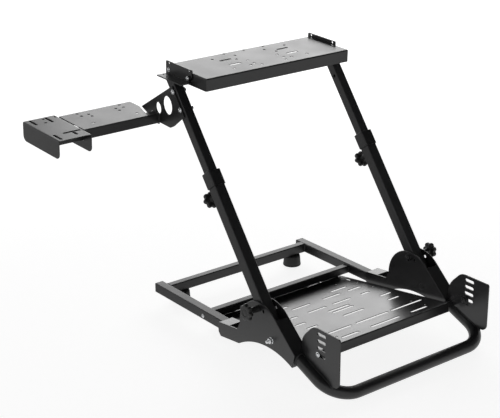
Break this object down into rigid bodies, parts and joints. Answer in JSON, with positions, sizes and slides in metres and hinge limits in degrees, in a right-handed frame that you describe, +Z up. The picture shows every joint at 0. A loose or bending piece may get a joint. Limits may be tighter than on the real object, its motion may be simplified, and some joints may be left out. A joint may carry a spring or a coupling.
{
  "type": "racing wheel stand",
  "caption": "Folding steel stand with leaning telescopic posts, a drilled wheel tray, a slotted tilting pedal plate, a side shelf for a shifter and a low tube base.",
  "frame": {"origin": "middle of the whole box on the floor", "axes": "+X to the right seen from the pedal side, +Y towards the driver, +Z up"},
  "size_m": [0.864, 0.7928, 0.6542],
  "materials": {
    "frame_tube": "satin black powder coat",
    "sheet_metal": "satin black powder coat",
    "knob_plastic": "fine-grained black plastic",
    "collar_plastic": "smooth black plastic",
    "foot_rubber": "dull black rubber",
    "zinc": "bright zinc-plated steel"
  },
  "bodies": {
    "base": {"left_rail": "frame_tube", "right_rail": "frame_tube", "left_end_cap": "collar_plastic", "right_end_cap": "collar_plastic", "rear_crossbar": "frame_tube", "middle_crossbar": "frame_tube", "left_foot": "foot_rubber", "right_foot": "foot_rubber", "left_gusset": "sheet_metal", "right_gusset": "sheet_metal", "left_pivot_bolt": "zinc", "right_pivot_bolt": "zinc", "left_lock_knob": "knob_plastic", "right_lock_knob": "knob_plastic", "front_hoop": "frame_tube", "left_pedal_bracket": "sheet_metal", "right_pedal_bracket": "sheet_metal"},
    "posts": {"left_outer_post": "frame_tube", "right_outer_post": "frame_tube", "left_collar": "collar_plastic", "right_collar": "collar_plastic", "left_height_knob": "knob_plastic", "right_height_knob": "knob_plastic"},
    "upper": {"left_inner_post": "frame_tube", "right_inner_post": "frame_tube", "left_tray_bracket": "sheet_metal", "right_tray_bracket": "sheet_metal", "shifter_bracket": "sheet_metal", "shifter_arm": "frame_tube", "shifter_plate": "sheet_metal", "shifter_end_plate": "sheet_metal"},
    "tray": {"wheel_tray": "sheet_metal"},
    "pedals": {"pedal_plate": "sheet_metal"}
  },
  "joints": [
    {"name": "post_fold", "type": "hinge", "parent": "base", "child": "posts", "pos_m": [0.129, -0.17579, 0.0878], "axis": [-1, 0, 0], "range_deg": [-17, 35]},
    {"name": "height_slide", "type": "slide", "parent": "posts", "child": "upper", "axis": [0, 0.6011, 0.7992], "range_m": [-0.12, 0.09]},
    {"name": "tray_tilt", "type": "hinge", "parent": "upper", "child": "tray", "pos_m": [0.129, 0.18268, 0.62939], "axis": [1, 0, 0], "range_deg": [0, 11.4]},
    {"name": "pedal_tilt", "type": "hinge", "parent": "base", "child": "pedals", "pos_m": [0.129, 0.12845, 0.01687], "axis": [-1, 0, 0], "range_deg": [0, 6.1]}
  ]
}
